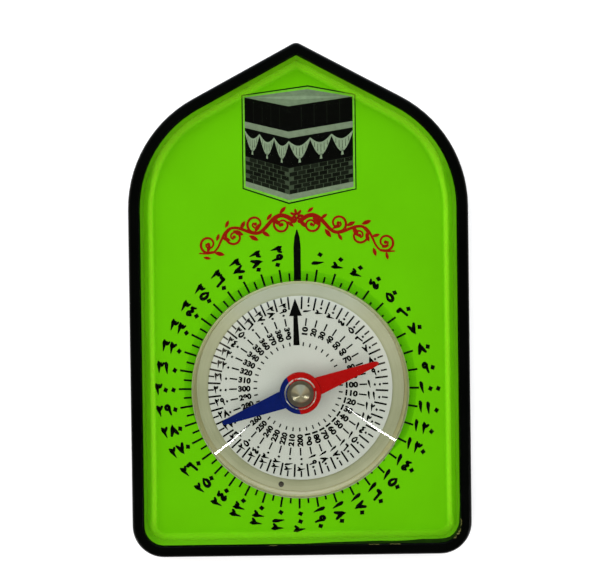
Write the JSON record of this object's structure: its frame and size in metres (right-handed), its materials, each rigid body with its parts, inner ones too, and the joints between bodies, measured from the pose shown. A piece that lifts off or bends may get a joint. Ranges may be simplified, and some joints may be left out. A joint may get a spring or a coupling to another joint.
{
  "type": "qibla compass",
  "caption": "Arched pocket plate with a printed green card under a clear window and a domed compass capsule, whose needle swings on a pin to show the direction of prayer.",
  "frame": {"origin": "middle of the underside of the tray, half way along its length and its width", "axes": "+Z out of the compass face, +Y towards the pointed end of the arch, which is aimed at the qibla, +X to the right when the face is read"},
  "size_m": [0.075, 0.113, 0.0135],
  "materials": {
    "black_plastic": "satin",
    "green_print": "satin",
    "clear_adhesive": "gloss",
    "clear_acrylic": "polished",
    "white_tape": "matte",
    "ivory_plastic": "satin",
    "dark_rubber": "matte",
    "dial_print": "satin",
    "pin_steel": "polished",
    "clear_styrene": "polished",
    "needle_enamel": "gloss",
    "nickel_plate": "polished",
    "jewel_glass": "polished"
  },
  "bodies": {
    "case": {"back_tray": "black_plastic", "printed_card": "green_print", "window_adhesive": "clear_adhesive", "clear_window": "clear_acrylic", "capsule_tape": "white_tape", "capsule_base": "ivory_plastic", "vent_plug": "dark_rubber", "dial_disc": "dial_print", "pivot_pin": "pin_steel", "capsule_lens": "clear_styrene"},
    "needle": {"needle_blade": "needle_enamel", "jewel_cap": "nickel_plate", "pivot_jewel": "jewel_glass"}
  },
  "joints": [
    {"name": "needle_spin", "type": "hinge", "parent": "case", "child": "needle", "pos_m": [0, -0.0197, 0.00934], "axis": [0, 0, 1], "continuous": true}
  ]
}
